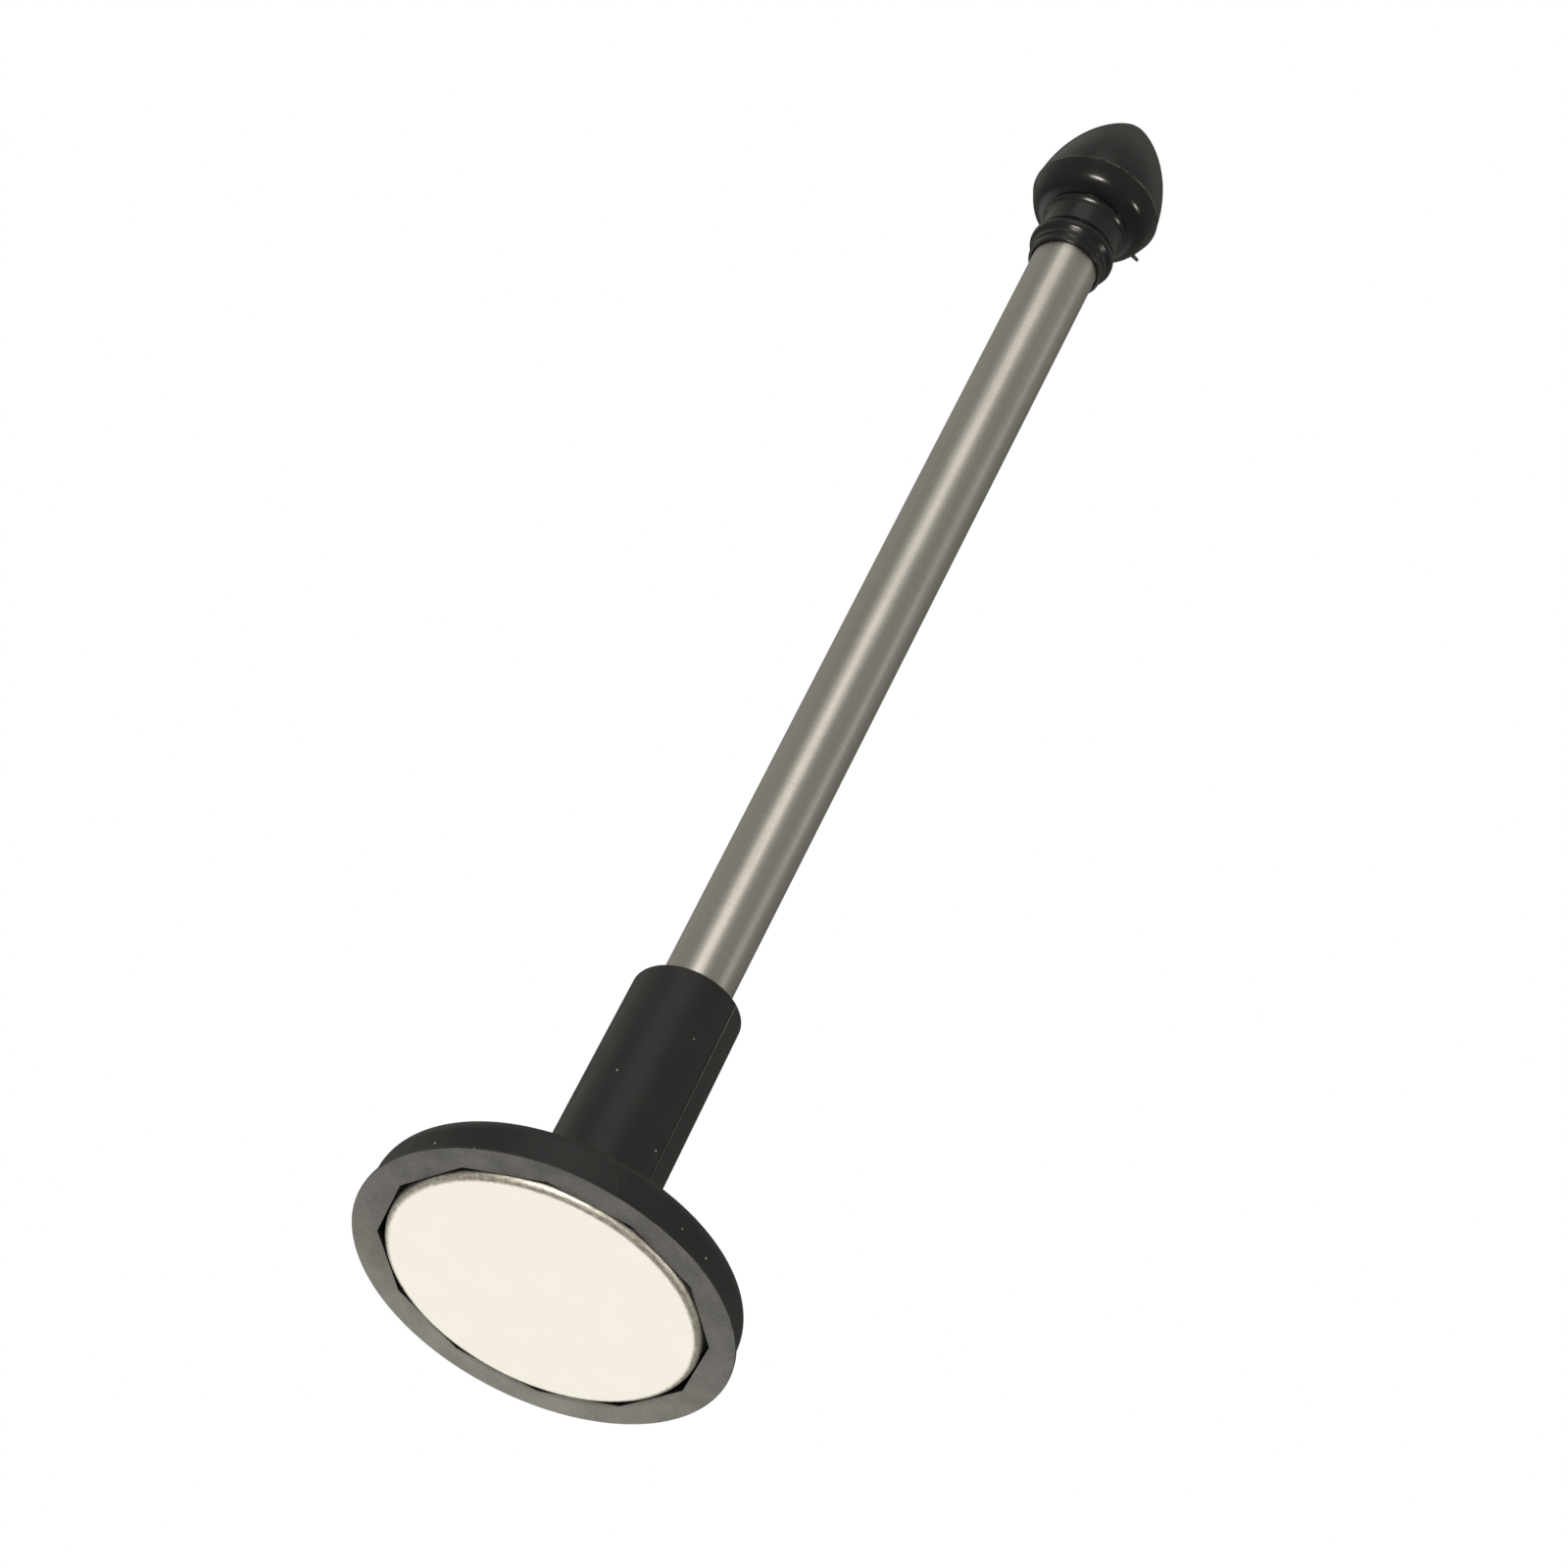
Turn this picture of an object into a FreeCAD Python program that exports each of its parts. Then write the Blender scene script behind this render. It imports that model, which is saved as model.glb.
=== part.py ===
# Telescoping magnetic alignment rod.
#
# A black moulded cup holds a plated disc magnet in its front face and, on its back, the
# lower end of a four-section telescopic tube. A black egg-shaped knob on the thinnest tube
# pulls the sections out, and its mouth nests over the widest tube when they are pushed in.
#
# Units are millimetres. The rod stands on the magnet: z = 0 is the magnet's face, the
# origin is the centre of that face, and +Z runs up the rod to the knob.

import FreeCAD, Part
import math
import os

V = FreeCAD.Vector

# ---- Driving dimensions -------------------------------------------------------------

# Magnet and the pocket that holds it
magnet_dia = 26.4
magnet_thickness = 2.5
magnet_edge_radius = 0.65
magnet_proud = 0.4             # how far the magnet stands out of the cup's front face
magnet_clearance = 0.13        # between the magnet and each flat of the pocket
adhesive_thickness = 0.15
adhesive_margin = 0.6          # the adhesive disc stays this far inside the magnet's edge
pocket_sides = 12
pocket_turn = 16.0             # degrees from +X to the first corner

# Cup rim: a thin front lip, a small undercut behind it, then the thick flange
rim_wall = 2.2                 # from the pocket's corners to the lip's edge
lip_thickness = 0.3
lip_draft = 0.03
lip_edge_radius = 0.08
undercut_depth = 0.72          # in radius, from the lip's edge
undercut_slope = 0.12          # along the axis, from the lip's back to the deepest point
flange_setback = 0.44          # the flange is this much smaller in radius than the lip
flange_swell_length = 1.98     # from the undercut to where the flange has its full radius
flange_thickness = 3.58        # from the undercut to the flange's back
flange_back_radius = 1.5

# Socket on the back of the cup
socket_length = 26.4
socket_base_wall = 1.95        # around the outer tube, where the socket leaves the flange
socket_end_wall = 1.72         # and at its open end
socket_end_round = 0.45
socket_root_round = 0.25
socket_mouth_round = 0.12
tube_sunk = 0.4                # the outer tube's end sits this far inside the flange
seam_width = 0.5               # mould parting line, a low flat rib along the socket
seam_height = 0.05
seam_turn = -41.0              # degrees from +X

# Telescopic tubes, widest first
outer_tube_dia = 6.0
tube_wall = 0.3
tube_gap = 0.2                 # radial, from each bore to the next tube
outer_tube_length = 118.3
mouth_step = 0.5               # each mouth stands this much higher than the one around it
mouth_roll_length = 0.6        # straight bore of a rolled-in mouth
mouth_ramp_length = 0.15       # slope from the rolled mouth back to the full bore
mouth_round = 0.34             # outside rounding of a rolled mouth
slide_clearance = 0.05         # radial, tube in the mouth around it

# Lower end of each sliding tube: retaining lip, friction springs, stop bush
end_lip_length = 0.8
end_lip_clearance = 0.08       # radial, retaining lip in the tube around it
spring_length = 8.0
spring_end_play = 0.1
spring_seat_depth = 0.05
spring_clearance = 0.02        # radial, spring in the tube around it
spring_sweep = 168.0           # degrees covered by each half-shell
bush_length = 4.0
bush_clearance = 0.04          # radial, bush in the tube around it
stop_play = 0.15               # left between the bush and the mouth at full stretch

# Plug that closes the outer tube inside the socket
plug_length = 6.0
plug_groove_width = 1.2
plug_groove_depth = 0.25
plug_chamfer = 0.35
nest_gap = 0.4                 # between the plug and the tubes pushed in above it

# Knob and the ferrule it is pressed on
knob_length = 19.0
knob_dia = 11.78
knob_crease_height = 8.5       # widest ring, measured from the knob's mouth
knob_side_radius = 16.2        # long curve from the widest ring towards the tip
knob_tip_radius = 2.37
knob_collar_wall = 0.3         # walls measured out from the knob's mouth
knob_step_wall = 0.44
knob_bead_wall = 0.78
knob_neck_wall = 0.46
knob_ridge_wall = 0.81
knob_collar_height = 0.62      # heights measured from the knob's mouth
knob_collar_round = 0.12
knob_step_height = 0.86        # small step between the collar and the bead
knob_step_round = 0.2
knob_bead_front_height = 1.3
knob_bead_side_height = 1.7    # where the bead reaches its full width
knob_bead_side_round = 0.6
knob_bead_height = 2.3         # where the bead ends
knob_bead_back_round = 0.8
knob_neck_height = 2.9         # where the neck is narrowest
knob_neck_round = 1.2
knob_neck_flare = 0.08         # the neck widens by this before it turns up to the ridge
knob_flute_height = 5.12
knob_flute_round = 0.7
knob_ridge_height = 5.44
knob_ridge_round = 0.45
knob_ridge_back_height = 5.8
knob_ridge_back_round = 0.2
knob_groove_depth = 0.13       # behind the ridge
knob_groove_height = 5.93
knob_belly_low_share = 0.565   # of the way out from the groove to the widest ring
knob_belly_low_height = 6.36
knob_belly_low_round = 1.65
knob_belly_high_share = 0.919
knob_belly_high_height = 7.65
knob_belly_high_round = 4.9
knob_mouth_clearance = 0.12    # radial, knob's mouth around the outer tube
knob_mouth_round = 0.1         # rounding just inside the knob's mouth
knob_overlap = 0.6             # how far the outer tube's mouth sits inside the knob
knob_seat_gap = 0.15           # between the knob's floor and the innermost mouth
nib_dia = 0.36                 # gate mark left by moulding
nib_length = 0.4
nib_height = 7.6
nib_turn = 26.0
ferrule_wall = 0.6
ferrule_length = 9.0
ferrule_cap = 1.0
ferrule_barb_depth = 0.15
ferrule_barb_pitch = 2.0
ferrule_glue_gap = 0.1

# ---- Places worked out from them ----------------------------------------------------

front_z = magnet_proud
lip_back_z = front_z + lip_thickness
undercut_z = lip_back_z + undercut_slope
back_z = undercut_z + flange_thickness
socket_end_z = back_z + socket_length
pocket_flat_radius = magnet_dia / 2 + magnet_clearance
pocket_corner_radius = pocket_flat_radius / math.cos(math.pi / pocket_sides)
lip_radius = pocket_corner_radius + rim_wall
flange_radius = lip_radius - flange_setback
pocket_floor_z = magnet_thickness + adhesive_thickness

tube_step = tube_wall + tube_gap
tube_radii = [outer_tube_dia / 2 - tube_step * i for i in range(4)]
bore_radii = [radius - tube_wall for radius in tube_radii]
tube_base_z = back_z - tube_sunk
outer_mouth_z = tube_base_z + outer_tube_length
mouth_zs = [outer_mouth_z + mouth_step * i for i in range(3)]
slide_base_z = tube_base_z + plug_length + nest_gap
base_zs = [tube_base_z] + [slide_base_z + mouth_step * i for i in range(3)]
spring_seat_length = spring_length + spring_end_play
bush_start = end_lip_length + spring_seat_length
bush_end = bush_start + bush_length
mouth_total = mouth_roll_length + mouth_ramp_length
socket_base_radius = tube_radii[0] + socket_base_wall
socket_end_radius = tube_radii[0] + socket_end_wall

knob_z = outer_mouth_z - knob_overlap
knob_floor_z = mouth_zs[2] + knob_seat_gap
knob_tip_z = knob_z + knob_length
ferrule_radius = tube_radii[3] + ferrule_wall
ferrule_top_z = knob_floor_z + ferrule_length
tip_tube_top_z = ferrule_top_z - ferrule_cap


# ---- Helpers ------------------------------------------------------------------------

def point(radius, z):
    return V(radius, 0, z)


def rounded_path(corners):
    """Straight runs through (radius, z) corners; a third number rounds that corner."""
    points = [point(corner[0], corner[1]) for corner in corners]
    rounding = [corner[2] if len(corner) > 2 else 0 for corner in corners]
    edges = []
    start = points[0]
    for i in range(1, len(points) - 1):
        corner = points[i]
        if rounding[i] == 0:
            edges.append(Part.LineSegment(start, corner).toShape())
            start = corner
            continue
        back = (points[i - 1] - corner).normalize()
        ahead = (points[i + 1] - corner).normalize()
        half_angle = back.getAngle(ahead) / 2
        reach = rounding[i] / math.tan(half_angle)
        bisector = (back + ahead).normalize()
        nearest = rounding[i] / math.sin(half_angle) - rounding[i]
        arc_start = corner + back * reach
        arc_end = corner + ahead * reach
        edges.append(Part.LineSegment(start, arc_start).toShape())
        edges.append(Part.Arc(arc_start, corner + bisector * nearest, arc_end).toShape())
        start = arc_end
    edges.append(Part.LineSegment(start, points[-1]).toShape())
    return edges


def turned(edges, sweep=360.0):
    """Solid swept about Z by the closed outline that the edges make."""
    face = Part.Face(Part.Wire(Part.__sortEdges__(edges)))
    return face.revolve(V(0, 0, 0), V(0, 0, 1), sweep)


def closed(corners):
    return rounded_path(corners + [corners[0]])


def turned_about_z(shape, degrees):
    shape.rotate(V(0, 0, 0), V(0, 0, 1), degrees)
    return shape


def save(shape, node):
    solid = shape.removeSplitter() if shape.ShapeType != "Solid" else shape
    if solid.ShapeType != "Solid":
        solid = solid.Solids[0]
    solid.exportStep("parts/" + node + ".step")
    print(node, "volume", round(solid.Volume, 2), "valid", solid.isValid())


# ---- Cup and magnet -----------------------------------------------------------------

def base_cup():
    socket_bore = tube_radii[0]
    body = turned(closed([
        (0, front_z),
        (lip_radius, front_z, lip_edge_radius),
        (lip_radius - lip_draft, lip_back_z),
        (lip_radius - undercut_depth, undercut_z),
        (flange_radius, undercut_z + flange_swell_length),
        (flange_radius, back_z, flange_back_radius),
        (socket_base_radius, back_z, socket_root_round),
        (socket_end_radius, socket_end_z, socket_end_round),
        (socket_bore, socket_end_z, socket_mouth_round),
        (socket_bore, tube_base_z),
        (0, tube_base_z),
    ]))
    corners = []
    for i in range(pocket_sides + 1):
        angle = math.radians(pocket_turn) + 2 * math.pi * i / pocket_sides
        x = pocket_corner_radius * math.cos(angle)
        y = pocket_corner_radius * math.sin(angle)
        corners.append(V(x, y, 0))
    pocket = Part.Face(Part.makePolygon(corners)).extrude(V(0, 0, pocket_floor_z))
    return body.cut(pocket).fuse(seam_ribs()).removeSplitter()


def seam_ribs():
    """Low ribs on both sides of the socket, where the two halves of its mould met."""
    top_z = socket_end_z - socket_end_round
    base_z = back_z + socket_root_round
    slope = (socket_base_wall - socket_end_wall) / socket_length
    base_radius = socket_base_radius - slope * (base_z - back_z)
    top_radius = socket_base_radius - slope * (top_z - back_z)
    shell = turned(closed([
        (tube_radii[0] + seam_height, base_z),
        (base_radius + seam_height, base_z),
        (top_radius + seam_height, top_z),
        (tube_radii[0] + seam_height, top_z),
    ]))
    reach = socket_base_radius + socket_base_wall
    slab = Part.makeBox(2 * reach, seam_width, top_z - base_z)
    slab.translate(V(-reach, -seam_width / 2, base_z))
    return shell.common(turned_about_z(slab, seam_turn))


def magnet_disc():
    radius = magnet_dia / 2
    return turned(closed([
        (0, 0),
        (radius, 0, magnet_edge_radius),
        (radius, magnet_thickness, magnet_edge_radius),
        (0, magnet_thickness),
    ]))


def magnet_adhesive():
    radius = magnet_dia / 2 - adhesive_margin
    return Part.makeCylinder(radius, adhesive_thickness, V(0, 0, magnet_thickness))


# ---- Telescopic tubes ---------------------------------------------------------------

def mouth_corners(i):
    """Rolled-in mouth of tube i, from its outside wall to its bore."""
    mouth_bore = tube_radii[i + 1] + slide_clearance
    return [
        (tube_radii[i], mouth_zs[i], mouth_round),
        (mouth_bore, mouth_zs[i]),
        (mouth_bore, mouth_zs[i] - mouth_roll_length),
        (bore_radii[i], mouth_zs[i] - mouth_total),
    ]


def slide_end_corners(i):
    """Lower end of sliding tube i, from its bore to its outside wall."""
    base = base_zs[i]
    seat = tube_radii[i] - spring_seat_depth
    end_lip = bore_radii[i - 1] - end_lip_clearance
    return [
        (bore_radii[i], base),
        (end_lip, base),
        (end_lip, base + end_lip_length),
        (seat, base + end_lip_length),
        (seat, base + bush_start),
        (tube_radii[i], base + bush_start),
    ]


def outer_tube():
    return turned(closed([
        (bore_radii[0], base_zs[0]),
        (tube_radii[0], base_zs[0]),
    ] + mouth_corners(0)))


def middle_tube(i):
    return turned(closed(slide_end_corners(i) + mouth_corners(i)))


def tip_tube():
    return turned(closed(slide_end_corners(3) + [
        (tube_radii[3], tip_tube_top_z),
        (bore_radii[3], tip_tube_top_z),
    ]))


def friction_spring(i, side):
    """One half-shell of the pair that grips the bore around tube i."""
    inner = tube_radii[i] - spring_seat_depth
    outer = bore_radii[i - 1] - spring_clearance
    base = base_zs[i] + end_lip_length + spring_end_play / 2
    shell = turned(closed([
        (inner, base),
        (outer, base),
        (outer, base + spring_length),
        (inner, base + spring_length),
    ]), spring_sweep)
    return turned_about_z(shell, (180 - spring_sweep) / 2 + 180 * side)


def stop_bush(i):
    """Ring pressed round tube i; it meets the mouth above at full stretch."""
    outer = bore_radii[i - 1] - bush_clearance
    return turned(closed([
        (tube_radii[i], base_zs[i] + bush_start),
        (outer, base_zs[i] + bush_start),
        (outer, base_zs[i] + bush_end),
        (tube_radii[i], base_zs[i] + bush_end),
    ]))


def outer_tube_plug():
    """Brass plug in the lower end of the outer tube, grooved to be crimped."""
    radius = bore_radii[0]
    groove_start = tube_base_z + (plug_length - plug_groove_width) / 2
    groove_end = groove_start + plug_groove_width
    return turned(closed([
        (0, tube_base_z),
        (radius, tube_base_z),
        (radius, groove_start),
        (radius - plug_groove_depth, groove_start),
        (radius - plug_groove_depth, groove_end),
        (radius, groove_end),
        (radius, tube_base_z + plug_length - plug_chamfer),
        (radius - plug_chamfer, tube_base_z + plug_length),
        (0, tube_base_z + plug_length),
    ]))


# ---- Knob ---------------------------------------------------------------------------

def tip_ferrule():
    """Closed brass sleeve crimped on the tip tube, with barbs that hold the knob."""
    corners = [(0, tip_tube_top_z), (tube_radii[3], tip_tube_top_z)]
    corners += [(tube_radii[3], knob_floor_z), (ferrule_radius, knob_floor_z)]
    barbs = int(ferrule_length / ferrule_barb_pitch) - 1
    for i in range(1, barbs + 1):
        barb_z = knob_floor_z + i * ferrule_barb_pitch
        corners.append((ferrule_radius, barb_z))
        corners.append((ferrule_radius - ferrule_barb_depth, barb_z))
        corners.append((ferrule_radius, barb_z + ferrule_barb_pitch / 2))
    corners += [(ferrule_radius, ferrule_top_z), (0, ferrule_top_z)]
    return turned(closed(corners))


def arc_from_centre(centre, start, end):
    """Short arc about a centre from one point to another."""
    radius = (start - centre).Length
    middle = centre + ((start + end) / 2 - centre).normalize() * radius
    return Part.Arc(start, middle, end).toShape()


def knob_outline():
    """Edges from the knob's mouth, over the outside, to the tip on the axis."""
    mouth_radius = tube_radii[0] + knob_mouth_clearance
    collar = mouth_radius + knob_collar_wall
    step = mouth_radius + knob_step_wall
    bead = mouth_radius + knob_bead_wall
    neck = mouth_radius + knob_neck_wall
    ridge = mouth_radius + knob_ridge_wall
    groove = ridge - knob_groove_depth
    crease = point(knob_dia / 2, knob_z + knob_crease_height)
    belly_low = groove + (crease.x - groove) * knob_belly_low_share
    belly_high = groove + (crease.x - groove) * knob_belly_high_share

    # The side arc passes through the crease and meets the tip's arc tangentially.
    tip_centre = point(0, knob_tip_z - knob_tip_radius)
    tip = point(0, knob_tip_z)
    span = crease - tip_centre
    gap = knob_side_radius - knob_tip_radius
    along = (gap ** 2 - knob_side_radius ** 2 + span.Length ** 2) / (2 * span.Length)
    across = math.sqrt(gap ** 2 - along ** 2)
    unit = span * (1 / span.Length)
    side_centre = tip_centre + unit * along + point(unit.z, -unit.x) * across
    tangent = tip_centre + (tip_centre - side_centre).normalize() * knob_tip_radius

    stem = rounded_path([
        (mouth_radius, knob_floor_z),
        (mouth_radius, knob_z, knob_mouth_round),
        (collar, knob_z, knob_collar_round),
        (collar, knob_z + knob_collar_height),
        (step, knob_z + knob_step_height, knob_step_round),
        (step, knob_z + knob_bead_front_height),
        (bead, knob_z + knob_bead_side_height, knob_bead_side_round),
        (bead, knob_z + knob_bead_height, knob_bead_back_round),
        (neck, knob_z + knob_neck_height, knob_neck_round),
        (neck + knob_neck_flare, knob_z + knob_flute_height, knob_flute_round),
        (ridge, knob_z + knob_ridge_height, knob_ridge_round),
        (ridge, knob_z + knob_ridge_back_height, knob_ridge_back_round),
        (groove, knob_z + knob_groove_height),
        (belly_low, knob_z + knob_belly_low_height, knob_belly_low_round),
        (belly_high, knob_z + knob_belly_high_height, knob_belly_high_round),
        (crease.x, crease.z),
    ])
    return stem + [
        arc_from_centre(side_centre, crease, tangent),
        arc_from_centre(tip_centre, tangent, tip),
    ]


def tip_knob():
    bore_top_z = ferrule_top_z + ferrule_glue_gap
    inside = rounded_path([
        (0, knob_tip_z),
        (0, bore_top_z),
        (ferrule_radius, bore_top_z),
        (ferrule_radius, knob_floor_z),
        (tube_radii[0] + knob_mouth_clearance, knob_floor_z),
    ])
    knob = turned(knob_outline() + inside)
    reach = knob_dia / 2 + nib_length
    nib = Part.makeCylinder(nib_dia / 2, reach - ferrule_radius - ferrule_wall,
                            V(ferrule_radius + ferrule_wall, 0, knob_z + nib_height),
                            V(1, 0, 0))
    return knob.fuse(turned_about_z(nib, nib_turn))


# ---- Write the parts ----------------------------------------------------------------

os.makedirs("parts", exist_ok=True)
save(base_cup(), "base_cup")
save(magnet_disc(), "magnet_disc")
save(magnet_adhesive(), "magnet_adhesive")
save(outer_tube(), "outer_tube")
save(outer_tube_plug(), "outer_tube_plug")
for i in (1, 2):
    save(middle_tube(i), "middle_tube_" + str(i))
save(tip_tube(), "tip_tube")
for i, name in ((1, "middle_1"), (2, "middle_2"), (3, "tip")):
    save(stop_bush(i), name + "_stop_bush")
    save(friction_spring(i, 0), name + "_spring_left")
    save(friction_spring(i, 1), name + "_spring_right")
    stroke = mouth_zs[i - 1] - mouth_total - stop_play - (base_zs[i] + bush_end)
    print(name, "stroke", round(stroke, 3))
save(tip_ferrule(), "tip_ferrule")
save(tip_knob(), "tip_knob")
print("closed length", round(knob_tip_z, 3))
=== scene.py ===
# %% [markdown]
# # A telescoping magnet rod
#
# The rod is a pocket tool. A black moulded cup holds a plated disc magnet, a bright steel
# tube stands in the cup's socket, and three thinner tubes slide out of it, pulled by an
# egg-shaped knob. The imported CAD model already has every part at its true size. This lesson
# builds the parts that show again with finer edges, and gives every part its finish.
#
# The first cell loads the CAD model and keeps its box, to compare with at the end.

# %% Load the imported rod
import math

import bmesh
import bpy
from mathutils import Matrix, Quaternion, Vector


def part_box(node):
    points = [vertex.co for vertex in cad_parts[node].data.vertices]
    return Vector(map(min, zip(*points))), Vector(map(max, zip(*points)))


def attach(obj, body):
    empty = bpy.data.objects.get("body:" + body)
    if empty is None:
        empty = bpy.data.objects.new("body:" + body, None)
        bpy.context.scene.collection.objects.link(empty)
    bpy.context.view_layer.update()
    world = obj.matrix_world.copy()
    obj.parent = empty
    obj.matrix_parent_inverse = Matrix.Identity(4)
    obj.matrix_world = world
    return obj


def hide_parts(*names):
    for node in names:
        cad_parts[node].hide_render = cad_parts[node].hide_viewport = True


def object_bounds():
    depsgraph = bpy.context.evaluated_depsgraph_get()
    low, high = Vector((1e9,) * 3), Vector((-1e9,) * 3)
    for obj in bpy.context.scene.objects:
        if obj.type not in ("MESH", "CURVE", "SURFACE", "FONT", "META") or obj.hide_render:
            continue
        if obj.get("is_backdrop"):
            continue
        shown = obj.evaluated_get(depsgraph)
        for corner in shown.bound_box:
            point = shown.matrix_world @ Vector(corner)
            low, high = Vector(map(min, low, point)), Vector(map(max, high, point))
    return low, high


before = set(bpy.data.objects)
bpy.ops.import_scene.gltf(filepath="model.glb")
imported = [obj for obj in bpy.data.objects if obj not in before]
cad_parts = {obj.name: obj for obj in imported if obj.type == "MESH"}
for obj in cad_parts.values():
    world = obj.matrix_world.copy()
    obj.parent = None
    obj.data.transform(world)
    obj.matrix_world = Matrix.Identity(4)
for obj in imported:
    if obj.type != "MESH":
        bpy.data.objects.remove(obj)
cad_low, cad_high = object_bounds()
MM = 0.001
print("nodes", len(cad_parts), "closed length", round((cad_high.z - cad_low.z) / MM, 2), "mm")

# %% [markdown]
# ## Camera
#
# The rod is seen from below, with the magnet towards us and the knob far away at the upper
# right. A camera could be turned with three Euler angles, but then its roll is hard to read.
# Here it is set the way a photographer works: a point to look at, a direction to stand in,
# a distance, and last the roll about the line of sight. A long lens keeps the tube's sides
# nearly parallel.

# %% Camera
camera_data = bpy.data.cameras.new("camera")
camera_data.lens = 139.95
camera_data.sensor_width = 36.0
camera_data.clip_start = 0.01
camera_data.clip_end = 20.0
camera = bpy.data.objects.new("camera", camera_data)
bpy.context.scene.collection.objects.link(camera)
bpy.context.scene.camera = camera

aim = Vector((-1.186, 0.0, 55.135)) * MM
elevation = math.radians(-38.14)
distance = 502.556 * MM
roll = math.radians(27.17)
towards_camera = Vector((0.0, -math.cos(elevation), math.sin(elevation)))
camera.location = aim + towards_camera * distance
camera.rotation_mode = "QUATERNION"
level = towards_camera.to_track_quat("Z", "Y")
camera.rotation_quaternion = level @ Quaternion((0.0, 0.0, 1.0), roll)
print("camera at", [round(v / MM, 1) for v in camera.location], "mm")

# %% [markdown]
# ## Studio
#
# Polished metal and black plastic show little of their own colour. What is seen on them is
# the room, so the room is where the look starts. A picture of a studio could be wrapped
# round the scene, but a few soft shapes laid over a grey room are easier to steer. The
# direction of a ray that leaves the scene is compared with the direction of each shape by a
# dot product, which is 1 straight at the shape and falls off all round it.
#
# There are five shapes, each laid over the ones before it. The corner below the rod is dim and
# the wall behind it is dark, which keeps the black plastic black. A side panel lightens the
# left edges of the socket and the tubes. A front panel draws one weak, broad line down them.
# The pale table lies where the magnet's face mirrors it. The camera itself sees plain white
# behind the rod.

# %% World
world = bpy.data.worlds.new("studio")
bpy.context.scene.world = world
world.use_nodes = True
sky = world.node_tree
sky.nodes.clear()


def wire(tree, kind, inputs=None, **settings):
    """Adds a node, sets it, and joins or fills its inputs."""
    node = tree.nodes.new(kind)
    for key, value in settings.items():
        setattr(node, key, value)
    for key, value in (inputs or {}).items():
        if isinstance(value, bpy.types.NodeSocket):
            tree.links.new(value, node.inputs[key])
        else:
            node.inputs[key].default_value = value
    return node


ray = wire(sky, "ShaderNodeTexCoord").outputs["Generated"]


def glow(behind, direction, start, full, colour):
    """Lays one soft round shape of light over what is behind it."""
    facing = wire(sky, "ShaderNodeVectorMath", {0: ray, 1: Vector(direction).normalized()},
                  operation="DOT_PRODUCT").outputs["Value"]
    share = wire(sky, "ShaderNodeMapRange", {"Value": facing, "From Min": start, "From Max": full},
                 interpolation_type="SMOOTHSTEP").outputs["Result"]
    return wire(sky, "ShaderNodeMix", {"Factor": share, 6: behind, 7: (*colour, 1.0)},
                data_type="RGBA").outputs[2]


room = wire(sky, "ShaderNodeRGB").outputs[0]
room.default_value = (0.33, 0.32, 0.298, 1.0)
room_shapes = {
    "dim corner": ((0.457, 0.549, -0.700), -0.30, 0.70, (0.22, 0.21, 0.195)),
    "dark wall": ((0.0, 0.7865, 0.6176), 0.55, 0.97, (0.12, 0.115, 0.10)),
    "side panel": ((-0.72, 0.30, 0.62), 0.82, 0.98, (0.42, 0.405, 0.375)),
    "front panel": ((-0.33, -0.71, 0.62), 0.90, 0.985, (0.80, 0.785, 0.74)),
    "pale table": ((-0.08, 0.80, -0.59), 0.78, 0.93, (1.06, 1.05, 1.01)),
}
for direction, start, full, colour in room_shapes.values():
    room = glow(room, direction, start, full, colour)
lit = wire(sky, "ShaderNodeBackground", {"Color": room, "Strength": 1.0}).outputs[0]
white = wire(sky, "ShaderNodeBackground", {"Color": (1.0, 1.0, 1.0, 1.0)}).outputs[0]
seen = wire(sky, "ShaderNodeLightPath").outputs["Is Camera Ray"]
both = wire(sky, "ShaderNodeMixShader", {0: seen, 1: lit, 2: white}).outputs[0]
wire(sky, "ShaderNodeOutputWorld", {"Surface": both})
bpy.context.scene.view_settings.view_transform = "Standard"
print("room shapes:", ", ".join(room_shapes))

# %% [markdown]
# ## Lamps
#
# Two soft boxes do the rest: a strong one on the camera's left and a weaker one on its
# right. Together they put the paired highlights on the rings of the knob, and each draws a
# warm line down the tubes. An area lamp is used because its size can be read off the
# highlight that it makes. Each is placed by the direction it shines from, far enough away
# that its highlight keeps its place all along the rod.

# %% Soft boxes
rod_middle = Vector((0.0, 0.0, (cad_low.z + cad_high.z) / 2))
lamp_away = 1.3
lamp_height = 0.20
WARM = (1.0, 0.955, 0.87)


def soft_box(name, direction, width, watts):
    """An area lamp that shines on the rod's middle from a direction."""
    lamp = bpy.data.lights.new(name, "AREA")
    lamp.shape = "RECTANGLE"
    lamp.size = width
    lamp.size_y = lamp_height
    lamp.energy = watts
    lamp.color = WARM
    box = bpy.data.objects.new(name, lamp)
    bpy.context.scene.collection.objects.link(box)
    unit = Vector(direction).normalized()
    box.location = rod_middle + unit * lamp_away
    box.rotation_mode = "QUATERNION"
    box.rotation_quaternion = unit.to_track_quat("Z", "Y")
    box.visible_camera = False
    print(name, "at", [round(v, 2) for v in box.location], "m")


soft_box("box_left", (-0.294, -0.886, -0.362), width=0.42, watts=9.0)
soft_box("box_right", (0.885, -0.400, -0.242), width=0.16, watts=2.2)

# %% [markdown]
# ## Floor
#
# The rod stands on its magnet, and the floor is a plain pale plane just under it. Most views
# are from above, but the first camera looks up through the plane, so the plane shows only
# its top side: light and reflections pass it by. Far from the rod it fades to the white of
# the background, so no horizon line shows.

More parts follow.
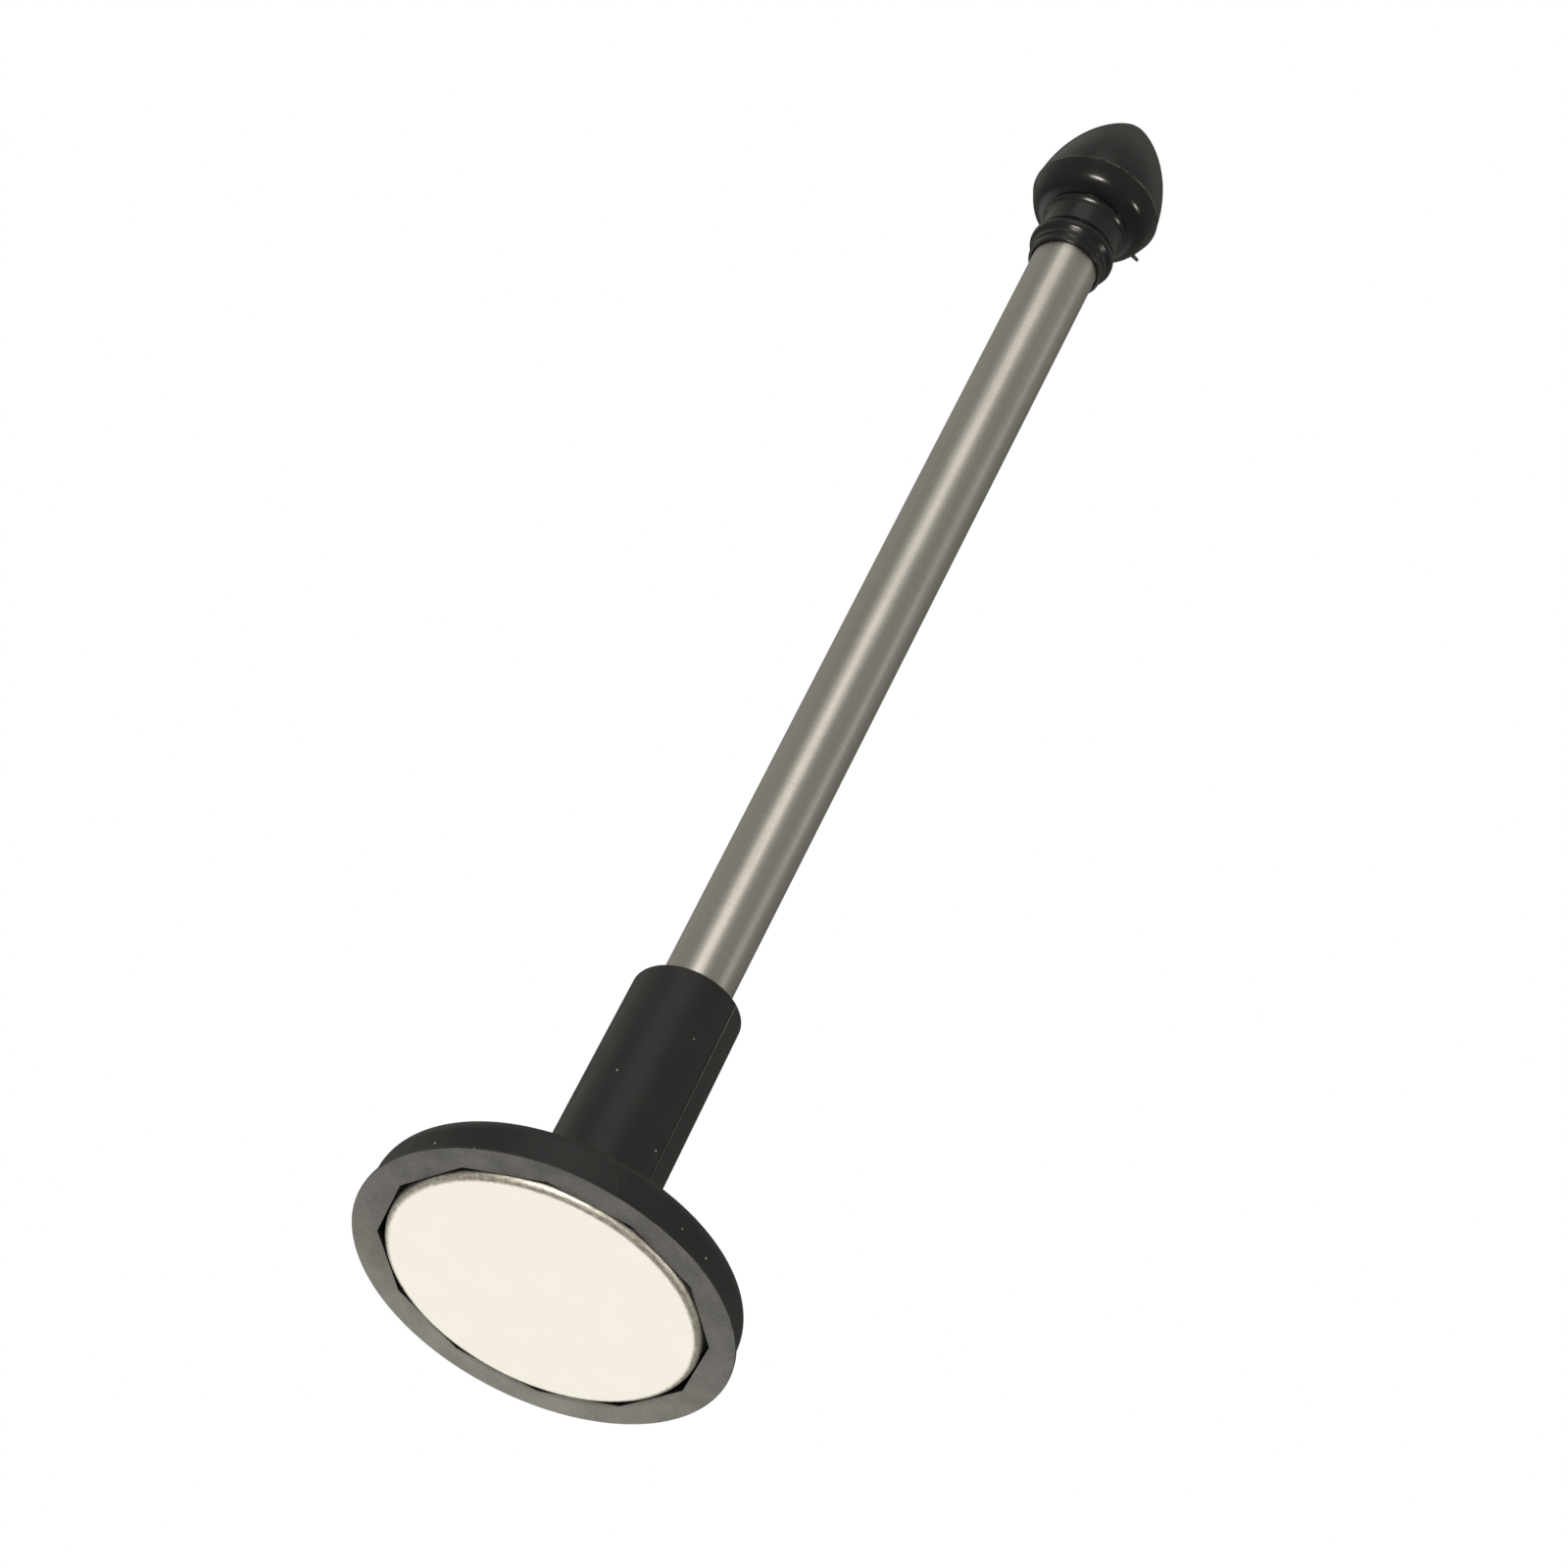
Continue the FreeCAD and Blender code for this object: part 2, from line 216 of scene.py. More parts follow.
# %% Floor
floor_drop = 0.3 * MM
floor_radius = 4.0
fade_start = 0.10
fade_end = 0.9
floor_mesh = bpy.data.meshes.new("floor")
ground = bmesh.new()
bmesh.ops.create_circle(ground, cap_ends=True, segments=96, radius=floor_radius)
bmesh.ops.translate(ground, vec=(0.0, 0.0, -floor_drop), verts=ground.verts)
ground.to_mesh(floor_mesh)
ground.free()
floor = bpy.data.objects.new("floor", floor_mesh)
bpy.context.scene.collection.objects.link(floor)
floor.visible_diffuse = False
floor.visible_glossy = False
floor.visible_transmission = False
floor.visible_shadow = False

paper = bpy.data.materials.new("floor_paper")
paper.use_nodes = True
sheet = paper.node_tree
sheet.nodes.clear()
spot = wire(sheet, "ShaderNodeTexCoord").outputs["Object"]
away = wire(sheet, "ShaderNodeVectorMath", {0: spot}, operation="LENGTH").outputs["Value"]
fade = wire(sheet, "ShaderNodeMapRange", {"Value": away, "From Min": fade_start,
                                              "From Max": fade_end},
            interpolation_type="SMOOTHSTEP").outputs["Result"]
grain = wire(sheet, "ShaderNodeTexNoise",
             {"Vector": spot, "Scale": 900.0, "Detail": 3.0}).outputs["Fac"]
tint = wire(sheet, "ShaderNodeMix", {"Factor": grain, 6: (0.60, 0.595, 0.585, 1.0),
                                     7: (0.66, 0.655, 0.645, 1.0)}, data_type="RGBA").outputs[2]
matt = wire(sheet, "ShaderNodeBsdfDiffuse", {"Color": tint}).outputs[0]
lift = wire(sheet, "ShaderNodeEmission",
            {"Color": (1.0, 0.995, 0.985, 1.0), "Strength": 0.55}).outputs[0]
near = wire(sheet, "ShaderNodeAddShader", {0: matt, 1: lift}).outputs[0]
far = wire(sheet, "ShaderNodeEmission",
           {"Color": (1.0, 1.0, 1.0, 1.0), "Strength": 1.0}).outputs[0]
top = wire(sheet, "ShaderNodeMixShader", {0: fade, 1: near, 2: far}).outputs[0]
clear = wire(sheet, "ShaderNodeBsdfTransparent").outputs[0]
under = wire(sheet, "ShaderNodeNewGeometry").outputs["Backfacing"]
one_sided = wire(sheet, "ShaderNodeMixShader", {0: under, 1: top, 2: clear}).outputs[0]
wire(sheet, "ShaderNodeOutputMaterial", {"Surface": one_sided})
floor_mesh.materials.append(paper)
floor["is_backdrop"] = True
print("floor", round(floor_drop / MM, 1), "mm under the magnet,", len(sheet.nodes), "nodes")

# %% [markdown]
# ## Tools for the finishes
#
# Every finish below starts from the Principled shader and the piece's own coordinates in
# metres. Numbers that hold all over a surface go straight on the shader. Only what varies,
# such as tone, gloss and bump, is worked out by nodes. A noise mostly stays between 0.3 and
# 0.7, so the blend between two values runs over that part unless it is told otherwise. The
# other helpers make a new finish, a noise of a given grain size, one colour laid over another,
# a bump, and the last joins to the shader.

# %% Finish helpers
def new_finish(name, **constants):
    """A material with a Principled shader; constants are its all-over values."""
    material = bpy.data.materials.new(name)
    material.use_nodes = True
    tree = material.node_tree
    shader = tree.nodes["Principled BSDF"]
    for key, value in constants.items():
        shader.inputs[key.replace("_", " ")].default_value = value
    place = wire(tree, "ShaderNodeTexCoord").outputs["Object"]
    return material, tree, shader, place


def grain_of(tree, place, size_mm, detail, roughness=0.55, distortion=0.0, stretch=None):
    """Noise whose lumps are about size_mm across; stretch lengthens them along x, y, z."""
    if stretch:
        shrink = [1.0 / s for s in stretch]
        place = wire(tree, "ShaderNodeMapping", {"Vector": place, "Scale": shrink}).outputs[0]
    return wire(tree, "ShaderNodeTexNoise",
                {"Vector": place, "Scale": 1.0 / (size_mm * MM), "Detail": detail,
                 "Roughness": roughness, "Distortion": distortion}).outputs["Fac"]


def between(tree, share, low, high, start=0.3, stop=0.7):
    """Runs from low to high as share goes from start to stop; a colour or a number."""
    if isinstance(low, tuple):
        share = wire(tree, "ShaderNodeMapRange", {"Value": share, "From Min": start,
                                                  "From Max": stop}).outputs["Result"]
        return wire(tree, "ShaderNodeMix", {"Factor": share, 6: (*low, 1.0), 7: (*high, 1.0)},
                    data_type="RGBA").outputs[2]
    return wire(tree, "ShaderNodeMapRange",
                {"Value": share, "From Min": start, "From Max": stop,
                 "To Min": low, "To Max": high}).outputs["Result"]


def mixed(tree, share, under, over):
    """Lays one colour over another where share is 1."""
    over = over if isinstance(over, bpy.types.NodeSocket) else (*over, 1.0)
    return wire(tree, "ShaderNodeMix", {"Factor": share, 6: under, 7: over},
                data_type="RGBA").outputs[2]


def sums(tree, kind, first, second):
    """A sum, product or other arithmetic of two numbers."""
    return wire(tree, "ShaderNodeMath", {0: first, 1: second}, operation=kind).outputs[0]


def raised(tree, shader, height, depth_mm, strength):
    """Bump from a height that goes from 0 to 1 over depth_mm."""
    bump = wire(tree, "ShaderNodeBump", {"Height": height, "Distance": depth_mm * MM,
                                         "Strength": strength}).outputs["Normal"]
    tree.links.new(bump, shader.inputs["Normal"])


def paint(tree, shader, **sockets):
    """Joins worked-out values to the shader's sockets."""
    for key, value in sockets.items():
        tree.links.new(value, shader.inputs[key.replace("_", " ")])


# %% [markdown]
# ## Black plastic of the cup
#
# The cup is moulded in a black plastic with a soft shine. New mouldings are never quite
# clean: static draws dust to them, and handling leaves hair scratches. The dust is a Voronoi
# pattern in which only the rare cells near a centre are kept, so the specks are single and
# tiny. The scratches are the thin lines where a distorted noise crosses one value, and a
# second, larger noise wipes most of them away, all the more where their cover is low.

# %% Dust and scratches
def dust(tree, place, cell_mm, speck_mm, share):
    """1 on small specks. A share of the cells, cell_mm across, holds one speck."""
    cells = wire(tree, "ShaderNodeTexVoronoi", {"Vector": place, "Scale": 1.0 / (cell_mm * MM)})
    near_centre = between(tree, cells.outputs["Distance"], 1.0, 0.0,
                          0.5 * speck_mm / cell_mm, speck_mm / cell_mm)
    pick = wire(tree, "ShaderNodeSeparateColor", {0: cells.outputs["Color"]}).outputs["Red"]
    kept = sums(tree, "LESS_THAN", pick, share)
    return sums(tree, "MULTIPLY", near_centre, kept)


def scratches(tree, place, size_mm, width, cover):
    """1 on thin wandering lines; cover, -0.3 to 1, is how much of the surface has them."""
    wandering = grain_of(tree, place, size_mm, detail=0.0, distortion=1.4)
    lines = wire(tree, "ShaderNodeMath", {0: wandering, 1: 0.5, 2: width},
                 operation="COMPARE").outputs[0]
    patches = grain_of(tree, place, size_mm * 1.7, detail=1.0)
    bare_until = 0.62 - 0.3 * cover
    kept = between(tree, patches, 0.0, 1.0, bare_until, bare_until + 0.06)
    return sums(tree, "MULTIPLY", lines, kept)


# %% Cup finish
cup_plastic, tree, shader, place = new_finish("cup_plastic_semi_gloss", IOR=1.5)
clouds = grain_of(tree, place, 5.0, detail=3.0)
orange_peel = grain_of(tree, place, 0.22, detail=2.0)
flow = grain_of(tree, place, 0.9, detail=3.0, stretch=(1.0, 1.0, 5.0))
tone = between(tree, clouds, (0.0080, 0.0080, 0.0080), (0.0120, 0.0118, 0.0115))
specks = dust(tree, place, cell_mm=1.4, speck_mm=0.13, share=0.30)
hairs = scratches(tree, place, size_mm=4.5, width=0.003, cover=0.05)
marks = sums(tree, "MAXIMUM", specks, sums(tree, "MULTIPLY", hairs, 0.20))
tone = mixed(tree, marks, tone, (0.34, 0.33, 0.30))
gloss = between(tree, flow, 0.34, 0.46)
gloss = sums(tree, "ADD", gloss, sums(tree, "MULTIPLY", marks, 0.3))
paint(tree, shader, Base_Color=tone, Roughness=gloss)
raised(tree, shader, orange_peel, depth_mm=0.004, strength=0.35)
print("cup finish", len(tree.nodes), "nodes")

# %% [markdown]
# ## Rubbed grey of the cup's front face, with painted light
#
# The front face is the same plastic, but it has been rubbed on steel: it is matt and greyer,
# with faint cloudy patches and the swirls of sanding. Its pale grey is partly that rubbing and
# partly painted light from the bright table that the face looks at. A separate finish is the
# clear way to show that, because it ends exactly at the lip's edge. The swirls come from rings
# round a point off the axis, broken up by noise. The face is painted paler still towards +y,
# the side that the table lights: a painted pool of light. Its narrow brim is darker where
# nothing rubs it.

# %% Front face finish
cup_face_with_painted_light, tree, shader, place = new_finish("cup_face_rubbed_and_painted_light", IOR=1.5)
patches = grain_of(tree, place, 3.5, detail=5.0, roughness=0.62)
fine = grain_of(tree, place, 0.18, detail=3.0, roughness=0.7)
off_axis = wire(tree, "ShaderNodeMapping",
                {"Vector": place, "Location": (0.006, -0.004, 0.0)}).outputs[0]
swirl = wire(tree, "ShaderNodeTexWave",
             {"Vector": off_axis, "Scale": 900.0, "Distortion": 9.0, "Detail": 3.0,
              "Detail Scale": 0.7}, wave_type="RINGS", rings_direction="Z").outputs["Fac"]
wear_and_painted_light = sums(tree, "ADD", sums(tree, "MULTIPLY", patches, 0.55), sums(tree, "MULTIPLY", fine, 0.45))
# Painted light: the face is made paler towards +y, the side that the table lights.
across = wire(tree, "ShaderNodeSeparateXYZ", {0: place}).outputs["Y"]
painted_table_light = between(tree, across, 0.0, 0.35, -6.0 * MM, 13.0 * MM)
wear_and_painted_light = sums(tree, "ADD", wear_and_painted_light, painted_table_light)
# The tone carries the real rubbing and the painted light together.
tone = between(tree, wear_and_painted_light, (0.040, 0.038, 0.034), (0.46, 0.445, 0.415), 0.34, 1.00)
hairs = scratches(tree, place, size_mm=5.5, width=0.003, cover=0.5)
tone = mixed(tree, sums(tree, "MULTIPLY", hairs, 0.30), tone, (0.27, 0.26, 0.24))
gloss = between(tree, wear_and_painted_light, 0.42, 0.60)
paint(tree, shader, Base_Color=tone, Roughness=gloss)
height = sums(tree, "ADD", sums(tree, "MULTIPLY", swirl, 0.25), fine)
raised(tree, shader, height, depth_mm=0.006, strength=0.5)
print("face finish", len(tree.nodes), "nodes")

# %% [markdown]
# The edges of the mould ribs on the socket stand proud, so fingers and pockets have rubbed
# them to a paler, duller black. They get that as a finish of their own, broken up by noise.

# %% Rib edge finish
cup_rib, tree, shader, place = new_finish("cup_plastic_worn_rib", IOR=1.5)
patchy = grain_of(tree, place, 0.8, detail=4.0, stretch=(1.0, 1.0, 4.0))
tone = between(tree, patchy, (0.025, 0.024, 0.023), (0.100, 0.097, 0.092), 0.35, 0.65)
gloss = between(tree, patchy, 0.40, 0.55)
paint(tree, shader, Base_Color=tone, Roughness=gloss)
raised(tree, shader, patchy, depth_mm=0.01, strength=0.4)
print("rib finish", len(tree.nodes), "nodes")

# %% [markdown]
# ## Nickel plate of the magnet
#
# Nickel plate is a warm, slightly yellow mirror. On a pressed magnet it isn't a perfect one:
# a fine orange peel softens the reflection. The rounded edge was tumbled and has knocked
# against steel, so it is duller, with short streaks. Its streaked tone is darker on average
# than the face: partly that wear and partly painted shade for the dim rim that the edge shows.
# The streaks are a fine noise kept to the outer ring by the distance from the axis.

# %% Magnet finish
magnet_low, magnet_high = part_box("magnet_disc")
magnet_radius = magnet_high.x / MM
edge_round = 0.66
edge_dull_from = magnet_radius - edge_round
edge_dull_full = magnet_radius - 0.36
nickel, tree, shader, place = new_finish("nickel_plate", Metallic=1.0)
flat = wire(tree, "ShaderNodeVectorMath", {0: place, 1: (1.0, 1.0, 0.0)},
            operation="MULTIPLY").outputs[0]
off_centre = wire(tree, "ShaderNodeVectorMath", {0: flat}, operation="LENGTH").outputs["Value"]
edge = between(tree, off_centre, 0.0, 1.0, edge_dull_from * MM, edge_dull_full * MM)
mottle = grain_of(tree, place, 4.0, detail=4.0)
peel = grain_of(tree, place, 0.30, detail=2.0)
streaks = grain_of(tree, place, 0.50, detail=4.0, roughness=0.75, stretch=(1.0, 1.0, 0.2))
tone = between(tree, mottle, (0.845, 0.812, 0.735), (0.870, 0.838, 0.765))
# Edge tone: real streaky wear, darker on average than the face as painted shade for the dim rim.
rubbed_and_painted_shade = between(tree, streaks, (0.50, 0.47, 0.40), (0.98, 0.94, 0.85), 0.38, 0.62)
tone = mixed(tree, edge, tone, rubbed_and_painted_shade)
gloss = between(tree, mottle, 0.16, 0.24)
gloss = sums(tree, "ADD", gloss, sums(tree, "MULTIPLY", edge, 0.30))
paint(tree, shader, Base_Color=tone, Roughness=gloss)
raised(tree, shader, peel, depth_mm=0.0015, strength=0.25)
print("nickel finish", len(tree.nodes), "nodes")

# %% [markdown]
# ## Polished stainless steel of the tubes
#
# Thin tube is drawn, then spun against a fine belt. The belt leaves lines round the tube, so
# light spreads along it: every lamp draws one long line from end to end. That is what
# anisotropy is for. Its direction is turned a quarter, so that the spread lies along the
# axis. Two noises give what the belt left to see: one stretched round the tube for its lines,
# and one stretched along it for the old drawing streaks. A cloudy noise stands for grease.

# %% Steel finish
steel, tree, shader, place = new_finish("stainless_steel_polished", Metallic=1.0,
                                        Anisotropic=0.83, Anisotropic_Rotation=0.25)
belt_lines = grain_of(tree, place, 0.09, detail=3.0, roughness=0.65, stretch=(45.0, 45.0, 1.0))
streaks = grain_of(tree, place, 0.30, detail=3.0, roughness=0.6, stretch=(1.0, 1.0, 90.0))
speckle = grain_of(tree, place, 0.12, detail=2.0, roughness=0.7)
grease = grain_of(tree, place, 6.0, detail=3.0)
line = sums(tree, "ADD", sums(tree, "MULTIPLY", belt_lines, 0.5),
            sums(tree, "MULTIPLY", streaks, 0.5))
tone = between(tree, line, (0.52, 0.500, 0.465), (0.66, 0.637, 0.600))
gloss = sums(tree, "ADD", between(tree, line, 0.40, 0.47),
             between(tree, grease, -0.02, 0.04, 0.35, 0.7))
paint(tree, shader, Base_Color=tone, Roughness=gloss)
height = sums(tree, "ADD", line, sums(tree, "MULTIPLY", speckle, 0.3))
raised(tree, shader, height, depth_mm=0.0012, strength=0.4)
print("steel finish", len(tree.nodes), "nodes")

# %% [markdown]
# ## Gloss black plastic of the knob
#
# The knob is moulded in a polished tool, so it is much shinier than the cup. Its gloss comes
# from a low, nearly even roughness. What keeps it from looking like glass is a slow waviness
# of the skin, a few rubbed hairlines and one or two specks of dust.

# %% Knob finish
knob_plastic, tree, shader, place = new_finish("knob_plastic_gloss", IOR=1.5)
wave = grain_of(tree, place, 2.4, detail=1.0)
haze = grain_of(tree, place, 1.6, detail=4.0)
specks = dust(tree, place, cell_mm=2.3, speck_mm=0.10, share=0.10)
hairs = scratches(tree, place, size_mm=4.1, width=0.003, cover=-0.10)
marks = sums(tree, "MAXIMUM", specks, sums(tree, "MULTIPLY", hairs, 0.10))
tone = between(tree, haze, (0.0055, 0.0053, 0.0050), (0.0085, 0.0080, 0.0074))
tone = mixed(tree, marks, tone, (0.30, 0.29, 0.27))
gloss = sums(tree, "ADD", between(tree, haze, 0.17, 0.25), sums(tree, "MULTIPLY", marks, 0.25))
paint(tree, shader, Base_Color=tone, Roughness=gloss)
raised(tree, shader, wave, depth_mm=0.010, strength=0.30)
print("knob finish", len(tree.nodes), "nodes")

# %% [markdown]
# The flash line round the crease has a paler, duller finish of its own. The paler tone is a
# painted highlight along the line. Noise breaks it up, so the line isn't even.

# %% Flash line finish, a painted highlight
knob_flash_painted_highlight, tree, shader, place = new_finish("knob_flash_line_painted_highlight", IOR=1.5)
patchy = grain_of(tree, place, 1.2, detail=4.0)
# Painted highlight: the flash line is made far paler than the knob's black.
tone = between(tree, patchy, (0.010, 0.010, 0.009), (0.130, 0.127, 0.120), 0.38, 0.66)
gloss = between(tree, patchy, 0.30, 0.45)
paint(tree, shader, Base_Color=tone, Roughness=gloss)
raised(tree, shader, patchy, depth_mm=0.01, strength=0.4)
print("flash finish", len(tree.nodes), "nodes")

# %% [markdown]
# ## Tools for the turned pieces
#
# Nearly everything on this rod was made on a lathe, in a round mould or by drawing through a
# die, so each piece is one outline swept round the axis. The outline is a line of edges from
# corner to corner, each corner given as a radius and a height in millimetres. A third number
# rounds the corner with a vertex bevel. A few cylinders and toruses pushed together would be
# quicker, but their edges would be sharp, and it is the small roundings that catch the light.

# %% Turning helpers
TURNS = 192
ARC_STEP = 6.0
HARD_EDGE = math.radians(32)
WELD = 0.0005
COARSE_WELD = 0.002
AXIS = Vector((0.0, 0.0, 1.0))


def spun(bm, verts, direction, degrees):
    """Turns some vertices about one of the rod's own directions."""
    bmesh.ops.rotate(bm, verts=verts, cent=(0, 0, 0),
                     matrix=Quaternion(direction, math.radians(degrees)).to_matrix())


def round_corner(bm, vert, radius):
    """Bevels one corner of a line of edges to an arc."""
    before, after = [edge.other_vert(vert) for edge in vert.link_edges]
    turn = (vert.co - before.co).angle(after.co - vert.co)
    steps = max(3, math.ceil(math.degrees(turn) / ARC_STEP))
    bmesh.ops.bevel(bm, geom=[vert], offset=radius * math.tan(turn / 2), segments=steps,
                    profile=0.5, affect="VERTICES", material=-1)


def outline(corners):
    """A line of edges through (radius, height) corners; a third number rounds a corner."""
    bm = bmesh.new()
    line = [bm.verts.new((corner[0], 0.0, corner[1])) for corner in corners]
    for start, end in zip(line, line[1:]):
        bm.edges.new((start, end))
    for vert, corner in zip(line, corners):
        if len(corner) > 2:
            round_corner(bm, vert, corner[2])
    return bm


def turned(bm, steps=TURNS):
    """Sweeps the outline once round the rod's axis and closes the seam and the poles."""
    bmesh.ops.spin(bm, geom=bm.verts[:] + bm.edges[:], cent=(0, 0, 0), axis=AXIS,
                   dvec=(0, 0, 0), angle=2 * math.pi, steps=steps, use_merge=True,
                   use_duplicate=False)
    bmesh.ops.remove_doubles(bm, verts=bm.verts, dist=WELD)
    bmesh.ops.recalc_face_normals(bm, faces=bm.faces)
    return bm


def finished(name, bm, body, slot, nodes, *finishes):
    """Makes the piece from a bmesh in millimetres, shades it, and hands it to the frame."""
    bmesh.ops.scale(bm, vec=(MM, MM, MM), verts=bm.verts)
    for face in bm.faces:
        face.smooth = True
    for edge in bm.edges:
        if len(edge.link_faces) == 2 and edge.calc_face_angle() > HARD_EDGE:
            edge.smooth = False
    mesh = bpy.data.meshes.new(name)
    bm.to_mesh(mesh)
    bm.free()
    piece = bpy.data.objects.new(name, mesh)
    bpy.context.scene.collection.objects.link(piece)
    for finish in finishes:
        mesh.materials.append(finish)
    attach(piece, body)
    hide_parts(*nodes)
    print(name, len(mesh.polygons), "faces")


# %% [markdown]
# ## The cup
#
# The cup is one moulding: a thin front lip with a small undercut behind it, a thick flange
# that swells a little towards its well-rounded back, and a long slightly tapered socket for
# the tube. All of that is round and is turned. The pocket in the front isn't round, it has
# twelve flats, so the outline stops short of it and leaves a round opening in the front face.

# %% Cup sizes
cup_low, cup_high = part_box("base_cup")
lip_radius = cup_high.x / MM
face_z = cup_low.z / MM
socket_end_z = cup_high.z / MM
tube_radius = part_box("outer_tube")[1].x / MM
socket_floor_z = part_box("outer_tube")[0].z / MM
lip_thickness = 0.3
lip_draft = 0.03
undercut_slope = 0.12
undercut_depth = 0.72
flange_swell = 1.98
flange_thickness = 3.58
flange_setback = 0.44
socket_base_wall = 1.95
socket_end_wall = 1.72
socket_root_round = 0.25
socket_end_round = 0.45
tube_clearance = 0.01
opening_setback = 1.1
print("lip radius", round(lip_radius, 2), "mm, socket end at", round(socket_end_z, 1), "mm")

# %% [markdown]
# The corners of the outline follow from those sizes, from the front face over the lip, the
# undercut, the flange and the socket, and down its bore to the floor the tube stands on.

# %% Cup outline
lip_back_z = face_z + lip_thickness
undercut_z = lip_back_z + undercut_slope
flange_back_z = undercut_z + flange_thickness
flange_radius = lip_radius - flange_setback
socket_base_radius = tube_radius + socket_base_wall
socket_end_radius = tube_radius + socket_end_wall
bore_radius = tube_radius + tube_clearance
opening_radius = lip_radius - opening_setback

cup = outline([
    (opening_radius, face_z),
    (lip_radius, face_z, 0.08),
    (lip_radius - lip_draft, lip_back_z, 0.05),
    (lip_radius - undercut_depth, undercut_z, 0.10),
    (flange_radius, undercut_z + flange_swell, 0.8),
    (flange_radius, flange_back_z, 1.5),
    (socket_base_radius, flange_back_z, socket_root_round),
    (socket_end_radius, socket_end_z, socket_end_round),
    (bore_radius, socket_end_z, 0.12),
    (bore_radius, socket_floor_z),
    (0.0, socket_floor_z),
])
turned(cup)
rim = [edge for edge in cup.edges if edge.is_boundary]
print("cup opening", len(rim), "edges at radius", round(opening_radius, 2))

# %% [markdown]
# The pocket starts as a circle of twelve corners. Its corners are rounded a little, and its
# flats are divided until it has as many edges as the round opening, so that a bridge can
# join the two loops with clean four-sided faces: the front face of the cup. The walls of the
# pocket are extruded from the same loop and its floor is filled in.

# %% Pocket
POCKET_SIDES = 12
pocket_turn = 16.0
pocket_corner_bevel = 0.10
rim_wall = 2.2
shortest_flat = 1.0
pocket_floor_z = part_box("magnet_adhesive")[1].z / MM
pocket = bmesh.ops.create_circle(cup, segments=POCKET_SIDES, radius=lip_radius - rim_wall)["verts"]
spun(cup, pocket, AXIS, pocket_turn)
bmesh.ops.translate(cup, verts=pocket, vec=(0, 0, face_z))
for vert in pocket:
    bmesh.ops.bevel(cup, geom=[vert], offset=pocket_corner_bevel, segments=2, profile=0.5,
                    affect="VERTICES", material=-1)
loop = [edge for edge in cup.edges if edge.is_wire]
flats = [edge for edge in loop if edge.calc_length() > shortest_flat]
cuts = (TURNS - len(loop)) // POCKET_SIDES
bmesh.ops.subdivide_edges(cup, edges=flats, cuts=cuts)
loop = [edge for edge in cup.edges if edge.is_wire]
print("pocket loop", len(loop), "edges,", len(flats), "flats")

# %% Pocket walls and front face
brim_angle = 1.2
brim_bevel = 0.07
level_within = 0.001
half_pocket_z = (face_z + pocket_floor_z) / 2
walls = bmesh.ops.extrude_edge_only(cup, edges=loop)["geom"]
bottom = [item for item in walls if isinstance(item, bmesh.types.BMVert)]
bmesh.ops.translate(cup, verts=bottom, vec=(0, 0, pocket_floor_z - face_z))
bottom_edges = [edge for edge in cup.edges
                if edge.is_boundary and edge.verts[0].co.z > half_pocket_z]
bmesh.ops.contextual_create(cup, geom=bottom_edges)
top_loop = [edge for edge in cup.edges if edge.is_boundary]
front = bmesh.ops.bridge_loops(cup, edges=top_loop)["faces"]
bmesh.ops.recalc_face_normals(cup, faces=cup.faces)
brim = [edge for edge in cup.edges
        if len(edge.link_faces) == 2 and edge.calc_face_angle() > brim_angle
        and all(abs(vert.co.z - face_z) < level_within for vert in edge.verts)]
bmesh.ops.bevel(cup, geom=brim, offset=brim_bevel, segments=2, profile=0.5, affect="EDGES",
                material=-1)
print("front face", len(front), "faces, brim", len(brim), "edges")

# %% [markdown]
# The two halves of the socket's mould met along its sides and left a low flat rib there.
# Each rib is a thin bar, tilted by the socket's taper, turned to its place and sunk until
# only its bevelled top stands out. The bevels take the rib finish, and the front face will
# take the rubbed one with its painted light: those are finishes 2 and 1 in the order that
# the cup gets them.

# %% Mould ribs
FRONT, RIB = 1, 2
rib_width = 0.5
rib_height = 0.09
rib_sunk = 0.30
rib_bevel = 0.06
rib_turn = -41.0
rib_low = flange_back_z + socket_root_round
rib_high = socket_end_z - socket_end_round
taper = math.degrees(math.atan2(socket_base_radius - socket_end_radius,
                                socket_end_z - flange_back_z))
middle_radius = (socket_base_radius + socket_end_radius) / 2
for side in (0.0, 180.0):
    bar = bmesh.ops.create_cube(cup, size=1.0)["verts"]
    bmesh.ops.scale(cup, verts=bar, vec=(rib_height + rib_sunk, rib_width, rib_high - rib_low))
    edges = list({edge for vert in bar for edge in vert.link_edges})
    rounded = bmesh.ops.bevel(cup, geom=edges, offset=rib_bevel, segments=3, profile=0.5,
                              affect="EDGES", material=-1)
    for face in rounded["faces"]:
        face.material_index = RIB
    bar = list({vert for face in rounded["faces"] for vert in face.verts})
    spun(cup, bar, (0, 1, 0), -taper)
    bmesh.ops.translate(cup, verts=bar, vec=(middle_radius + (rib_height - rib_sunk) / 2, 0,
                                             (rib_low + rib_high) / 2))
    spun(cup, bar, AXIS, rib_turn + side)
print("ribs", round(rib_high - rib_low, 1), "mm long, tilted", round(taper, 2), "degrees")

# %% [markdown]
# The front face gets the rubbed finish with its painted light: all faces at its level that
# look straight out of it. Then the cup is handed over as one piece with three finishes.
# Then the cup is handed over as one piece with three finishes.

# %% Cup
face_depth = 0.02
facing_out = -0.7
for face in cup.faces:
    if face.calc_center_median().z < face_z + face_depth and face.normal.z < facing_out:
        face.material_index = FRONT
finished("cup", cup, "base", "cup_plastic", ["base_cup"], cup_plastic, cup_face_with_painted_light, cup_rib)

